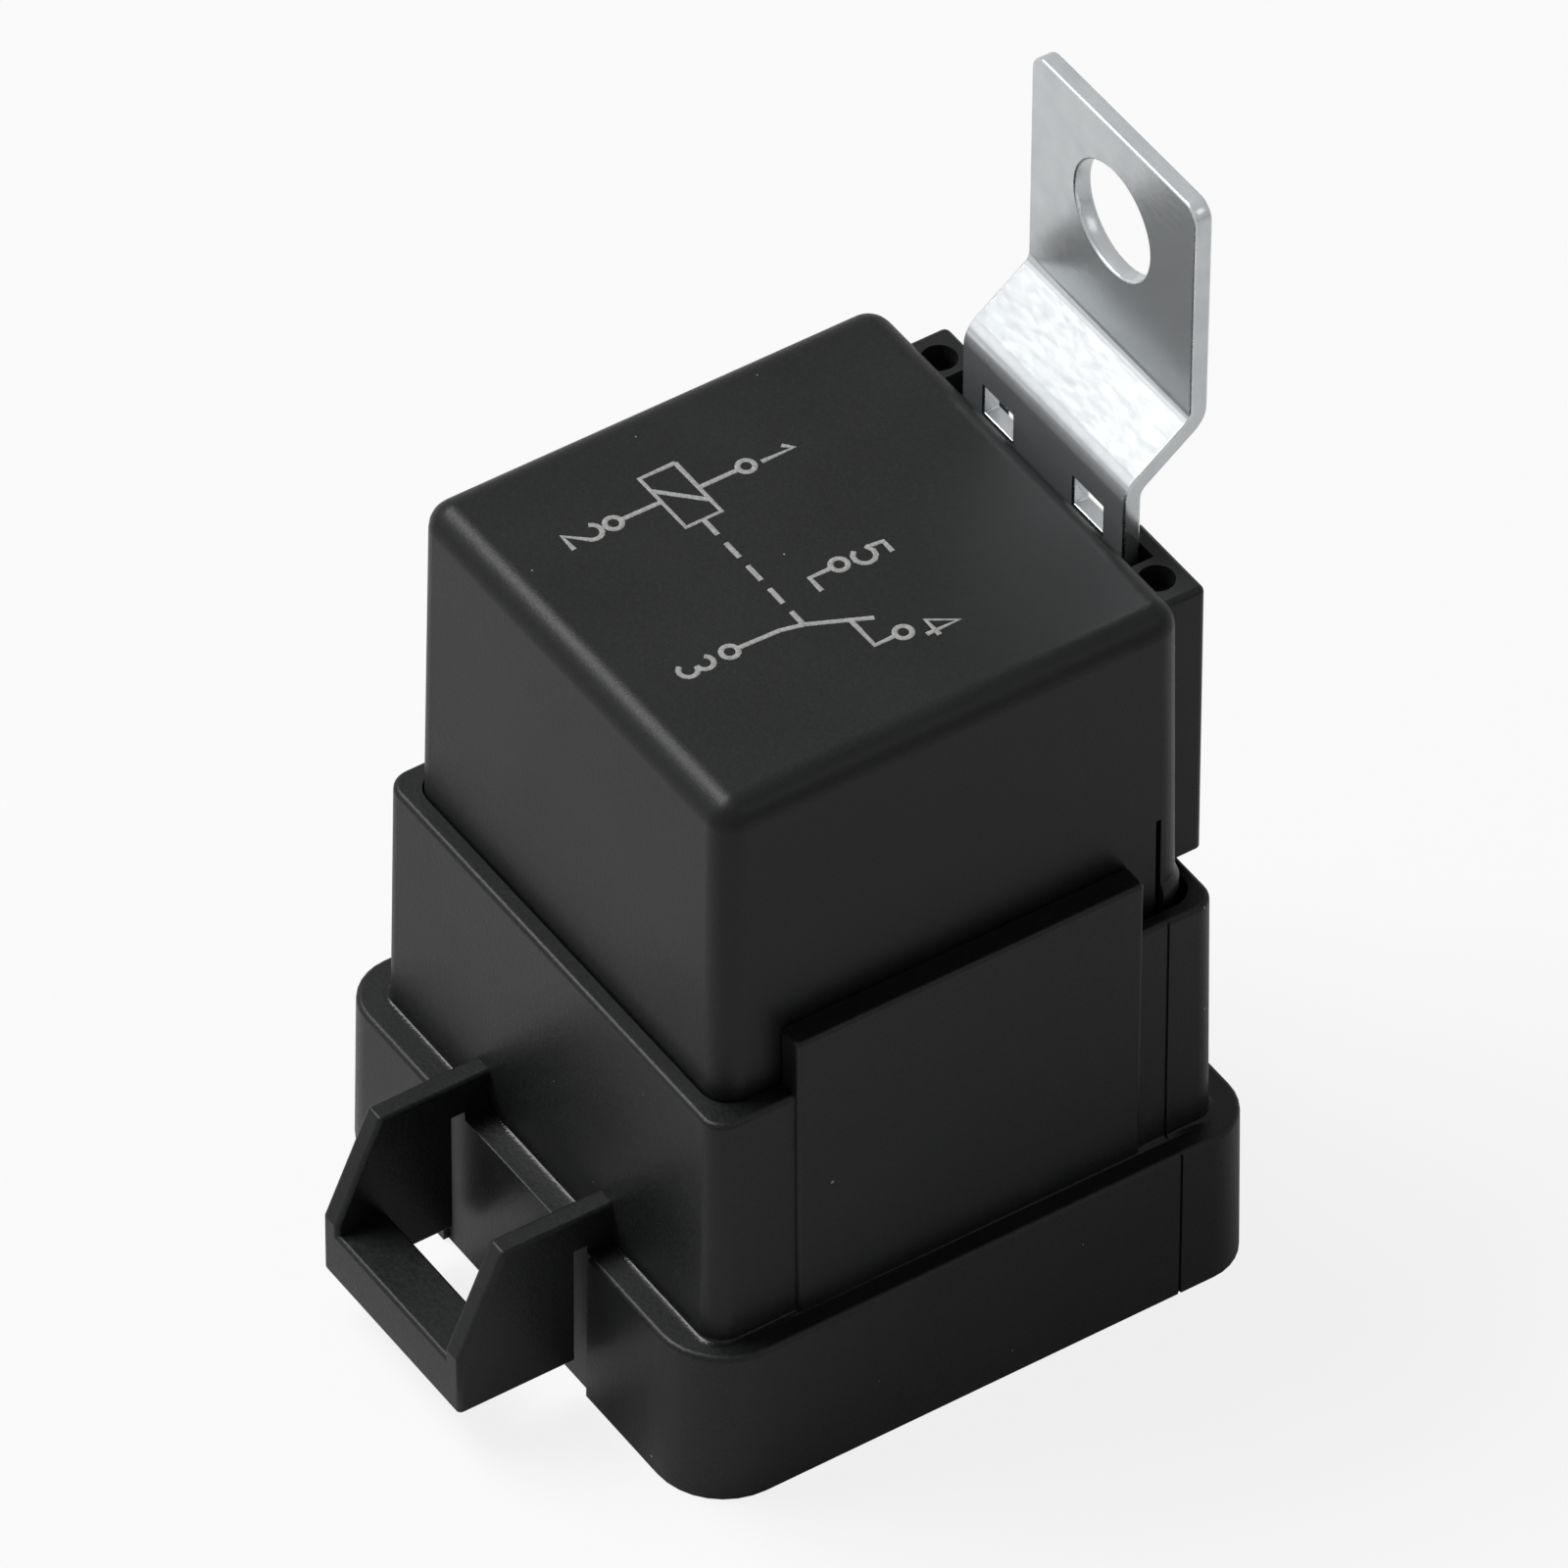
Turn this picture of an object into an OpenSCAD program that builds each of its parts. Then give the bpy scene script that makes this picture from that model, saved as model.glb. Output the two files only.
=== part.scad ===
// Sealed changeover mini relay: a square moulded cover seated in a base with a
// plug-in skirt, a latch loop on the skirt and a bent steel mounting bracket.
// Millimetres. +Z is up and the connector faces down. The origin is the centre
// of the skirt's open rim. The latch is on the -Y side, the bracket on +Y.

/* [Cover] */
// Width of the square cover at its top
cover_w = 27; // [26.5:0.1:33]
// Height of the cover's top above the base's rim
cover_rise = 19.2; // [18.8:0.1:26]
// Radius of the cover's corners and top edge
cover_edge_r = 1.5; // [0.8:0.1:2]
// Wall thickness of the cover
cover_wall = 1.2; // [0.8:0.05:1.3]
// Draft of the cover's walls, in degrees
cover_draft = 0.75; // [0.2:0.05:1]
// Clearance between the cover and its pocket in the base
cover_fit = 0.1; // [0.05:0.01:0.2]
// Depth of the cover below the rim
cover_plug = 7.9; // [4:0.1:8.3]
// Width of the slit beside the cover's clip corner
slit_w = 0.3; // [0.2:0.05:0.6]
// Height of that slit above the rim
slit_rise = 5.8; // [3:0.1:8]
// How far the clip corner's foot stands out from the cover
clip_foot = 0.2; // [0.1:0.05:0.4]
// Height of that foot
clip_foot_h = 1.6; // [1:0.1:3]

/* [Bracket rails] */
// Width across the two rails at their top
rail_w = 22.6; // [21:0.1:24]
// How far the rails stand out behind the cover
rail_depth = 2.7; // [2.5:0.05:3.4]
// Drop from the cover's top to the rails' top
rail_drop = 1.75; // [1.2:0.05:4]
// Gap between the rim and the rails' lower end
rail_gap = 0.1; // [0.05:0.05:2]
// Width between the rails' inner faces
rail_slot_w = 16.2; // [15:0.1:17]
// Width of the opening between the rails' lips
rail_lip_gap = 11.6; // [11.2:0.1:13]
// Thickness of the closed lower end of each rail slot
rail_floor = 2; // [1:0.1:4]
// Diameter of the recess in each rail's top
rail_dimple_d = 1.9; // [1:0.1:2.2]

/* [Base] */
// Height of the plug-in skirt
skirt_h = 9.7; // [8:0.1:12]
// Height of the base's body above the skirt
body_h = 14.7; // [14:0.1:19]
// Offset of the body's outside towards the panel
body_x = 0.15; // [0:0.05:0.3]
// Wall of the base's body beside the cover, at the rim
rim_wall = 1.01; // [0.8:0.01:1.5]
// Draft of the base's outer walls, in degrees
base_draft = 0.7; // [0.2:0.05:1]
// Ledge from the body out to the skirt
skirt_step = 1.66; // [1:0.01:3]
// Wall thickness of the skirt
skirt_wall = 1.6; // [1.2:0.05:2]
// Corner radius of the skirt
skirt_r = 2.95; // [2.2:0.05:4]
// Larger corner radius between the latch and the panel
skirt_key_r = 3.9; // [2.2:0.05:5]
// Corner radius of the body
body_r = 1.3; // [0.8:0.1:2]
// Fillet between the body and the skirt's ledge
foot_fillet = 0.35; // [0.1:0.05:0.6]
// Width of the parting lines' grooves
seam_w = 0.16; // [0.1:0.02:0.3]
// Depth of those grooves
seam_depth = 0.12; // [0.05:0.01:0.3]
// Distance of the grooves from the middle of the +X face
seam_y = 11.8; // [10.8:0.1:12.5]
// Room in the rim round the clip corner's foot
clip_room = 0.45; // [0.3:0.05:0.6]
// Depth of that room below the rim
clip_room_h = 1.2; // [0.5:0.1:2]
// Rounding of the base's outer edges
base_edge_r = 0.3; // [0.1:0.05:0.6]
// Height of the web's underside above the skirt
web_up = 3.8; // [3:0.1:5]
// Thickness of the web that carries the terminals
web_t = 2.5; // [2.3:0.05:2.6]
// Wall of the recess below the web
well_wall = 1.8; // [1.2:0.05:2]
// Thickness of the epoxy under the web
seal_t = 1.45; // [0.8:0.05:2]
// Width of the raised panel on the +X face
panel_w = 20.4; // [14:0.1:22]
// Offset of the panel from the middle of the face
panel_y = 0; // [-2:0.05:2]
// How far the panel stands out at the rim
panel_proud = 0.25; // [0.2:0.05:1]
// Height of the panel above the rim
panel_rise = 3.7; // [2:0.1:6]

/* [Latch] */
// Outer width of the latch loop
latch_w = 12.4; // [10:0.1:14]
// Thickness of each gusset of the loop
gusset_t = 1.3; // [1:0.05:2]
// Reach of the loop from the skirt's foot
latch_reach = 7.3; // [6.8:0.05:9]
// Height of the gussets' top above the skirt's ledge
latch_up = 2.6; // [1:0.1:4]
// Flat length of the gussets' top, from the body
gusset_flat = 6.2; // [4:0.1:6.8]
// Height of the loop's underside above the skirt's foot
latch_clear = 2.4; // [1.5:0.1:4]
// Height of the bar across the loop
bar_h = 3.2; // [2:0.1:4]
// Thickness of that bar
bar_t = 3.05; // [2:0.05:3.2]
// Depth of the relief in the skirt behind the loop
relief_depth = 0.3; // [0.1:0.05:0.5]
// Width of that relief
relief_w = 13; // [12.4:0.1:16]

/* [Bracket] */
// Thickness of the bracket's sheet
sheet_t = 1; // [0.8:0.05:1.25]
// Width of the bracket
bracket_w = 14; // [13:0.1:14.6]
// Height of the bracket above the cover
bracket_rise = 18.6; // [16:0.1:26]
// Diameter of the mounting hole
hole_d = 6.4; // [4.2:0.1:8.4]
// Distance from the hole's centre to the bracket's top edge
hole_edge = 5.8; // [5.5:0.1:9]
// Gap between the cover's back and the bracket
plate_gap = 0.7; // [0.5:0.05:0.9]
// Height of the lower bend above the cover
bend_up = 2.2; // [1.6:0.1:4]
// How far the bracket steps back
jog = 3.8; // [3:0.1:6]
// Slope of the stepped part above level, in degrees
jog_slope = 37.6; // [30:0.1:50]
// Inner radius of both bends
bend_r = 0.8; // [0.5:0.05:1]
// Radius of the bracket's top corners
bracket_corner_r = 1; // [0.5:0.1:3]
// Width of each window beside the cover's top
window_w = 2.5; // [2:0.1:2.9]
// Height of each of those windows
window_h = 1.75; // [1:0.05:3]
// Distance between the windows' centres
window_pitch = 7.8; // [7.4:0.1:8]
// Drop from the cover's top to the windows' top
window_drop = 0.2; // [0:0.05:1]

/* [Terminals] */
// Width of each blade
blade_w = 6.3; // [4.8:0.1:6.6]
// Thickness of each blade
blade_t = 0.8; // [0.6:0.05:1]
// Length of the blades below the epoxy
blade_l = 10; // [7:0.1:11.5]
// Chamfer of the blades' tips
blade_chamfer = 1; // [0.5:0.1:1.5]
// Distance between the two coil blades
coil_blade_pitch = 16.8; // [16.4:0.1:18]
// Clearance round a blade where it passes the web and the epoxy
blade_fit = 0.05; // [0.02:0.01:0.1]
// Width of the posts above the web
post_w = 3; // [2:0.1:3.4]

/* [Coil] */
// Outer diameter of the winding
winding_d = 14.4; // [12:0.1:14.6]
// Width of the bobbin's square flanges
flange_w = 14.8; // [14.6:0.1:15]
// Thickness of the bobbin's flanges
flange_t = 1.2; // [0.8:0.05:1.6]
// Wall of the bobbin's tube
tube_wall = 0.85; // [0.6:0.05:1.2]
// Diameter of the iron core
core_d = 6; // [4:0.1:6.4]
// Diameter of the core's pole face
pole_d = 9; // [7:0.1:10]
// Thickness of the pole face
pole_t = 0.8; // [0.6:0.05:1.2]
// Thickness of the yoke and of the armature
iron_t = 1.5; // [1.2:0.05:1.7]
// Height of the yoke
yoke_h = 20.45; // [17:0.05:20.5]
// Width of the yoke
yoke_w = 12; // [9:0.1:13]
// Diameter of the wire at the coil's ends
lead_d = 0.45; // [0.3:0.05:0.5]

/* [Contacts] */
// Travel of the armature, in degrees
travel = 2.5; // [1.5:0.1:2.8]
// Thickness of the contact spring
spring_t = 0.3; // [0.2:0.05:0.35]
// Width of the contact spring over the armature
spring_w = 10; // [8:0.1:11]
// Diameter of the contacts
contact_d = 2.8; // [2:0.1:3]
// Height of each contact's head
contact_h = 0.65; // [0.5:0.05:0.7]
// Gap left between parts that touch in use
touch = 0.05; // [0.03:0.01:0.08]

/* [Hidden] */
$fn = 48;
// Faces on the corners of the drafted shells
shell_fn = 32;
// Steps in a rounded top edge
edge_steps = 6;
// Faces round the small moulded edges
edge_fn = 16;
// Thin slice that a hull starts from, and overlap of cuts
sliver = 0.01;
over = 0.5;

// Heights
rim_z = skirt_h + body_h;
cover_top_z = rim_z + cover_rise;
cover_foot_z = rim_z - cover_plug;
web_z = skirt_h + web_up;
web_top_z = web_z + web_t;
seal_z = web_z - seal_t;
tip_z = seal_z - blade_l;
well_z = skirt_h - skirt_wall;

// Half widths
cover_half = cover_w / 2;
cover_half_rim = cover_half + cover_rise * tan(cover_draft);
rim_half = cover_half_rim + cover_fit + rim_wall;
body_half_foot = rim_half + body_h * tan(base_draft);
skirt_half = body_half_foot + skirt_step;
skirt_half_foot = skirt_half + skirt_h * tan(base_draft);
well_half = body_half_foot - well_wall;
well_r = 1;
panel_x = body_x + rim_half + panel_proud;

// Rails and bracket
rail_top_z = cover_top_z - rail_drop;
rail_foot_z = rim_z + rail_gap;
rail_back_y = cover_half + rail_depth;
rail_edge_r = 0.4;
clip_foot_gap = 0.05;
plate_y = cover_half + plate_gap;
plate_fit = 0.05;
plate_foot_z = rail_foot_z + rail_floor + plate_fit;
window_top_z = cover_top_z - window_drop;
bend_z = cover_top_z + bend_up;
jog_rise = jog * tan(jog_slope);
upper_bend_z = bend_z + jog_rise;
upper_y = plate_y + jog;
bracket_top_z = cover_top_z + bracket_rise;
hole_z = bracket_top_z - hole_edge;
bend_turn = 90 - jog_slope;

// Latch
latch_y = -(skirt_half_foot + latch_reach);
latch_top_z = skirt_h + latch_up;
latch_foot_z = latch_clear;
bar_top_z = latch_foot_z + bar_h;
gusset_nose_z = bar_top_z + 0.5;
gusset_top_y = -(body_half_foot + gusset_flat);
latch_edge_r = 0.3;

// Blade positions of the standard five-way layout
coil_blade_x = coil_blade_pitch / 2;
coil_blade_y = -1;
common_y = -9;
nc_y = 0.4;
no_y = 8.4;
strip_z = web_z + (web_t - blade_t) / 2;

// Coil and yoke
coil_y = -1.6;
yoke_z = web_top_z + touch;
yoke_top_z = yoke_z + yoke_h;
yoke_front_y = coil_y - flange_w / 2 - 0.2;
yoke_back_y = yoke_front_y - iron_t;
yoke_foot_y = 3.5;
bobbin_z = yoke_z + iron_t + touch;
tube_r = core_d / 2 + tube_wall;
stake_y = common_y + 1.5;
stake_w = 2.2;
tail_r = 2.2;

// Armature and contacts: the hinge lies on the yoke's inner top edge
pivot_y = yoke_front_y;
pivot_z = yoke_top_z + touch;
armature_w = yoke_w + 1;
armature_top_z = pivot_z + iron_t;
spring_bend_r = 0.6;
armature_tail_y = yoke_back_y + spring_bend_r;
armature_nose_y = coil_y + pole_d / 2 + 0.7;
pole_top_z = pivot_z - (coil_y + pole_d / 2 - pivot_y) * sin(travel) - touch;
bobbin_top_z = pole_top_z - pole_t - touch;
winding_z = bobbin_z + flange_t + touch;
winding_top_z = bobbin_top_z - flange_t - touch;
contact_y = no_y + blade_t / 2 + 1.1;
spring_z = armature_top_z + sliver;
moving_low_z = spring_z - contact_h - 0.2;
moving_high_z = spring_z + spring_t + contact_h;
no_high_z = moving_low_z - (contact_y + contact_d / 2 - pivot_y) * sin(travel) - touch;
no_tab_z = no_high_z - contact_h - blade_t;
nc_low_z = moving_high_z + touch;
nc_arm_z = nc_low_z + contact_h;
nc_post_x = 6.2;
rivet_d = 1.6;
rivet_head_d = 2.6;
rivet_head_h = 0.5;
rivet_fit = 0.02;
spring_rivet_x = 3.4;
yoke_rivet_z = yoke_top_z - 5.5;
armature_rivet_y = -4.5;

// Square block with rounded corners, drafted walls and a rounded top edge.
// half is its half width at the top; radii go round from the -X -Y corner.
module drafted_block(half, z0, z1, draft, radii, edge_r = 0) {
    spread = (z1 - z0) * tan(draft);
    hull()
        for (i = [0:3]) {
            sx = i == 1 || i == 2 ? 1 : -1;
            sy = i >= 2 ? 1 : -1;
            r = radii[i];
            foot = half + spread - r;
            translate([sx * foot, sy * foot, z0])
                cylinder(r = r, h = sliver, $fn = shell_fn);
            for (k = [0:(edge_r > 0 ? edge_steps : 0)]) {
                a = 90 * k / edge_steps;
                z = z1 - edge_r * (1 - sin(a));
                inset = edge_r * (1 - cos(a));
                translate([sx * (half - r), sy * (half - r), z - sliver])
                    cylinder(r = max(r - inset, sliver), h = sliver, $fn = shell_fn);
            }
        }
}

// Box between two corners
module box(low, high) {
    translate(low)
        cube(high - low);
}

// Quarter disc that rounds the outside of a sharp fold, in the quadrant given
module fold(t, su, sv) {
    intersection() {
        circle(r = t);
        translate([su < 0 ? -t : 0, sv < 0 ? -t : 0])
            square(t);
    }
}

// Sheet of width w seen along the X axis: its children are drawn as [y, z]
module across_x(w) {
    translate([-w / 2, 0, 0])
        rotate([90, 0, 90])
            linear_extrude(w)
                children();
}

// Contact or rivet head: a disc of height h with a shallow dome on top
module button(d, h) {
    dome = h / 3;
    ball_r = (d * d / 4 + dome * dome) / (2 * dome);
    intersection() {
        cylinder(d = d, h = h);
        translate([0, 0, h - ball_r])
            sphere(r = ball_r, $fn = 64);
    }
}

// The two rails behind the cover, before their slot is cut
module rail_block() {
    r = rail_edge_r;
    half = rail_w / 2 - r;
    spread = (rail_top_z - rail_foot_z) * tan(cover_draft);
    hull()
        for (sx = [-1, 1])
            for (y = [cover_half - 1, rail_back_y - r]) {
                translate([sx * half, y, rail_top_z - r])
                    sphere(r = r, $fn = shell_fn);
                translate([sx * (half + spread), y, rail_foot_z])
                    cylinder(r = r, h = sliver, $fn = shell_fn);
            }
}

// Space between the rails: the bracket's slot and the opening in front of it
module rail_slot() {
    slot_half = rail_slot_w / 2;
    lip_half = rail_lip_gap / 2;
    lip_y = plate_y + sheet_t + plate_fit;
    front_y = cover_half + (cover_top_z - rail_foot_z) * tan(cover_draft);
    box([-slot_half, cover_half, plate_foot_z - plate_fit], [slot_half, lip_y, rail_top_z + over]);
    box([-lip_half, front_y, rail_foot_z - over], [lip_half, rail_back_y + over, rail_top_z + over]);
}

// Ribs that hold the bracket against the rails' lips
module rail_guides() {
    rib_y = plate_y - plate_fit;
    rib_top_z = rail_top_z - 3;
    for (s = [-1, 1])
        translate([s * (rail_lip_gap / 2 + 0.6), 0, 0])
            box([-0.5, cover_half - over, plate_foot_z], [0.5, rib_y, rib_top_z]);
}

// Foot of the clip corner: a bead round the corner, just above the rim
module clip_corner_foot() {
    centre = cover_half_rim - cover_edge_r;
    inner = cover_edge_r - 0.1;
    outer = cover_edge_r + clip_foot;
    bevel = 0.2;
    inside = cover_half - cover_edge_r + slit_w / 2 + 0.05;
    intersection() {
        translate([centre, centre, rim_z + clip_foot_gap])
            rotate_extrude()
                polygon([[0, 0], [outer - bevel, 0], [outer, bevel], [outer, clip_foot_h / 2],
                         [inner, clip_foot_h], [0, clip_foot_h]]);
        box([inside, inside, rim_z], [cover_half + 2, cover_half + 2, rim_z + 2 * clip_foot_h]);
    }
}

// Slits on both sides of the clip corner
module corner_slits() {
    slit_at = cover_half - cover_edge_r;
    slit_top_z = rim_z + slit_rise;
    depth = 0.6;
    face = cover_half + (cover_top_z - slit_top_z) * tan(cover_draft) - depth;
    box([face, slit_at - slit_w / 2, cover_foot_z - over], [face + 2, slit_at + slit_w / 2, slit_top_z]);
    box([slit_at - slit_w / 2, face, cover_foot_z - over], [slit_at + slit_w / 2, face + 2, slit_top_z]);
}

module cover() {
    radii = [for (i = [0:3]) cover_edge_r];
    inner_r = max(cover_edge_r - cover_wall, 0.3);
    inner_radii = [for (i = [0:3]) inner_r];
    inner_top_z = cover_top_z - cover_wall;
    color([0.13, 0.13, 0.14])
        difference() {
            union() {
                drafted_block(cover_half, cover_foot_z, cover_top_z, cover_draft, radii, cover_edge_r);
                difference() {
                    rail_block();
                    rail_slot();
                    for (s = [-1, 1])
                        translate([s * (rail_w / 2 - 1.85), cover_half + 1, rail_top_z - 1.5])
                            cylinder(d = rail_dimple_d, h = 1.5 + over);
                }
                rail_guides();
                clip_corner_foot();
            }
            drafted_block(cover_half - cover_wall, cover_foot_z - over, inner_top_z, cover_draft, inner_radii);
            corner_slits();
        }
}

// Plate between x0 and x1 with rounded edges, over corners given as [y, z]
module rounded_plate(x0, x1, corners, r) {
    hull()
        for (c = corners)
            for (x = [x0 + r, x1 - r])
                translate([x, c[0], c[1]])
                    sphere(r = r, $fn = edge_fn);
}

// Loop on the skirt that the mating connector's tongue locks into
module latch_loop() {
    outer = latch_w / 2;
    r = latch_edge_r;
    foot = latch_foot_z + r;
    gusset = [[-(body_half_foot - 0.8), latch_top_z - r], [gusset_top_y, latch_top_z - r],
              [latch_y + r, gusset_nose_z], [latch_y + r, foot], [-(skirt_half - 0.8), foot]];
    bar = [[latch_y + r, foot], [latch_y + r, bar_top_z - r],
           [latch_y + bar_t - r, bar_top_z - r], [latch_y + bar_t - r, foot]];
    rounded_plate(-outer, -outer + gusset_t, gusset, r);
    rounded_plate(outer - gusset_t, outer, gusset, r);
    rounded_plate(-outer, outer, bar, r);
}

// Raised panel on the +X face, leaning with the wall and rounded at its edges
module raised_panel() {
    r = base_edge_r;
    top_z = rim_z + panel_rise;
    foot_x = panel_x + body_h * tan(base_draft);
    y0 = panel_y - panel_w / 2 + r;
    y1 = panel_y + panel_w / 2 - r;
    hull()
        for (y = [y0, y1]) {
            translate([panel_x - r, y, top_z - r])
                sphere(r = r, $fn = edge_fn);
            translate([cover_half, y, top_z - r])
                sphere(r = r, $fn = edge_fn);
            translate([foot_x - r, y, skirt_h - over])
                sphere(r = r, $fn = edge_fn);
            translate([cover_half, y, skirt_h - over])
                sphere(r = r, $fn = edge_fn);
        }
}

// Flat strip that carries the normally closed contact's current through the web
module nc_strip_outline(grow) {
    strip_w = 2.4;
    x0 = -blade_w / 2 - grow;
    x1 = nc_post_x + blade_t / 2 + grow;
    leg_x = nc_post_x + blade_t / 2 - strip_w - grow;
    y0 = nc_y + blade_t / 2 - sliver - grow;
    translate([x0, y0])
        square([x1 - x0, strip_w - blade_t + 2 * grow]);
    translate([leg_x, y0])
        square([x1 - leg_x, contact_y + post_w / 2 + grow - y0]);
}

// Passages for the five terminals through the web and the epoxy
module terminal_passages() {
    g = blade_fit;
    w = blade_w / 2 + g;
    t = blade_t / 2 + g;
    z0 = seal_z - over;
    z1 = web_top_z + over;
    for (s = [-1, 1])
        box([s * coil_blade_x - t, coil_blade_y - w, z0], [s * coil_blade_x + t, coil_blade_y + w, z1]);
    box([-t, common_y - w, z0], [t, common_y + w, z1]);
    box([-w, no_y - t, z0], [w, no_y + t, z1]);
    box([-w, nc_y - t, z0], [w, nc_y + t, strip_z + blade_t + g]);
    translate([0, 0, strip_z - 2 * g])
        linear_extrude(blade_t + 4 * g)
            nc_strip_outline(2 * g);
    box([nc_post_x - t, contact_y - post_w / 2 - g, strip_z], [nc_post_x + t, contact_y + post_w / 2 + g, z1]);
}

// Two-faceted fillet between the body and the skirt's ledge
module body_foot(radii) {
    near = foot_fillet * (1 - sin(45));
    sunk = 0.02;
    top_half = body_half_foot - foot_fillet * tan(base_draft);
    drafted_block(top_half - sunk, skirt_h - 0.1, skirt_h + foot_fillet, 22.5, radii);
    drafted_block(body_half_foot + near - sunk, skirt_h - 0.1, skirt_h + near, 67.5, radii);
}

// Groove of a parting line down a +X face that is reach from the middle at height z1
module seam_groove(reach, z0, z1) {
    translate([reach, seam_y, z1])
        rotate([0, -base_draft, 0])
            box([-seam_depth, -seam_w / 2, z0 - z1], [1, seam_w / 2, over]);
}

// Room in the rim round the clip corner's foot
module clip_corner_room() {
    w = 2 * (cover_half_rim + clip_room);
    side = panel_y + panel_w / 2 + 0.3;
    translate([0, 0, rim_z - clip_room_h])
        linear_extrude(clip_room_h + over)
            intersection() {
                rounded_square(w, cover_edge_r);
                translate([side, side])
                    square(w);
            }
}

module shrouded_base() {
    pocket_radii = [for (i = [0:3]) cover_edge_r + cover_fit];
    body_radii = [for (i = [0:3]) body_r];
    skirt_radii = [skirt_r, skirt_key_r, skirt_r, skirt_r];
    cavity_radii = [for (r = skirt_radii) r - skirt_wall];
    well_radii = [for (i = [0:3]) well_r];
    color([0.12, 0.12, 0.13])
        difference() {
            union() {
                translate([body_x, 0, 0]) {
                    drafted_block(rim_half, skirt_h - over, rim_z, base_draft, body_radii, base_edge_r);
                    body_foot(body_radii);
                }
                drafted_block(skirt_half, 0, skirt_h, base_draft, skirt_radii, base_edge_r);
                raised_panel();
                latch_loop();
            }
            drafted_block(cover_half + cover_fit, web_top_z, cover_top_z, cover_draft, pocket_radii);
            drafted_block(skirt_half - skirt_wall, -over, well_z, base_draft, cavity_radii);
            drafted_block(well_half, well_z - over, web_z, 0, well_radii);
            box([-relief_w / 2, -skirt_half_foot - over, -over],
                [relief_w / 2, -skirt_half_foot + relief_depth, skirt_h + over]);
            clip_corner_room();
            seam_groove(body_x + rim_half, skirt_h, rim_z);
            seam_groove(skirt_half, -over, skirt_h);
            terminal_passages();
        }
}

// Square outline with rounded corners
module rounded_square(w, r) {
    square([w, w - 2 * r], center = true);
    square([w - 2 * r, w], center = true);
    for (sx = [-1, 1])
        for (sy = [-1, 1])
            translate([sx * (w / 2 - r), sy * (w / 2 - r)])
                circle(r = r);
}

module epoxy_seal() {
    color([0.05, 0.05, 0.05])
        difference() {
            translate([0, 0, seal_z])
                linear_extrude(seal_t - sliver)
                    rounded_square(2 * (well_half - touch), well_r);
            terminal_passages();
        }
}

// Side profile of the bent sheet, seen along the X axis
module bracket_profile() {
    outer_r = bend_r + sheet_t;
    leg = tan(bend_turn / 2);
    lower_z = bend_z - outer_r * leg;
    upper_z = upper_bend_z + bend_r * leg;
    translate([plate_y, plate_foot_z])
        square([sheet_t, lower_z - plate_foot_z]);
    translate([plate_y + outer_r, lower_z])
        bend_sector(outer_r, 180 - bend_turn, 180);
    translate([plate_y, bend_z])
        rotate(jog_slope)
            translate([outer_r * leg, -sheet_t])
                square([jog / cos(jog_slope) - (outer_r + bend_r) * leg, sheet_t]);
    translate([upper_y - bend_r, upper_z])
        bend_sector(outer_r, -bend_turn, 0);
    translate([upper_y, upper_z])
        square([sheet_t, bracket_top_z - upper_z]);
}

// Bent part of the sheet, between two angles round the bend's centre
module bend_sector(outer_r, from, to) {
    reach = 2 * outer_r;
    mid = (from + to) / 2;
    intersection() {
        difference() {
            circle(r = outer_r);
            circle(r = outer_r - sheet_t);
        }
        polygon([[0, 0], reach * [cos(from), sin(from)], reach * [cos(mid), sin(mid)], reach * [cos(to), sin(to)]]);
    }
}

// Front outline of the bracket: a strip with two rounded top corners
module bracket_outline() {
    half = bracket_w / 2;
    r = bracket_corner_r;
    translate([-half, plate_foot_z])
        square([bracket_w, bracket_top_z - r - plate_foot_z]);
    translate([-half + r, bracket_top_z - 2 * r])
        square([bracket_w - 2 * r, 2 * r]);
    for (s = [-1, 1])
        translate([s * (half - r), bracket_top_z - r])
            circle(r = r);
}

module mounting_bracket() {
    far_y = upper_y + sheet_t + over;
    color([0.72, 0.74, 0.76])
        difference() {
            intersection() {
                translate([-bracket_w / 2, 0, 0])
                    rotate([90, 0, 90])
                        linear_extrude(bracket_w)
                            bracket_profile();
                translate([0, far_y, 0])
                    rotate([90, 0, 0])
                        linear_extrude(far_y)
                            bracket_outline();
            }
            translate([0, far_y, hole_z])
                rotate([90, 0, 0])
                    cylinder(d = hole_d, h = sheet_t + 2 * over, $fn = 64);
            for (s = [-1, 1])
                translate([s * window_pitch / 2, 0, 0])
                    box([-window_w / 2, plate_y - over, window_top_z - window_h],
                        [window_w / 2, plate_y + sheet_t + over, window_top_z]);
        }
}

// Upright blade with a chamfered tip, lying in the XZ plane, up to height top_z
module blade(top_z) {
    half = blade_w / 2;
    c = blade_chamfer;
    translate([0, blade_t / 2, 0])
        rotate([90, 0, 0])
            linear_extrude(blade_t)
                polygon([[-half + c, tip_z], [half - c, tip_z], [half, tip_z + 1.5 * c],
                         [half, top_z], [-half, top_z], [-half, tip_z + 1.5 * c]]);
}

module terminal_30() {
    color([0.78, 0.66, 0.42])
        union() {
            translate([0, common_y, 0])
                rotate([0, 0, 90])
                    blade(web_top_z - 1);
            box([-blade_t / 2, stake_y - stake_w / 2, web_top_z - 1 - sliver],
                [blade_t / 2, stake_y + stake_w / 2, yoke_z + iron_t]);
        }
}

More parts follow.
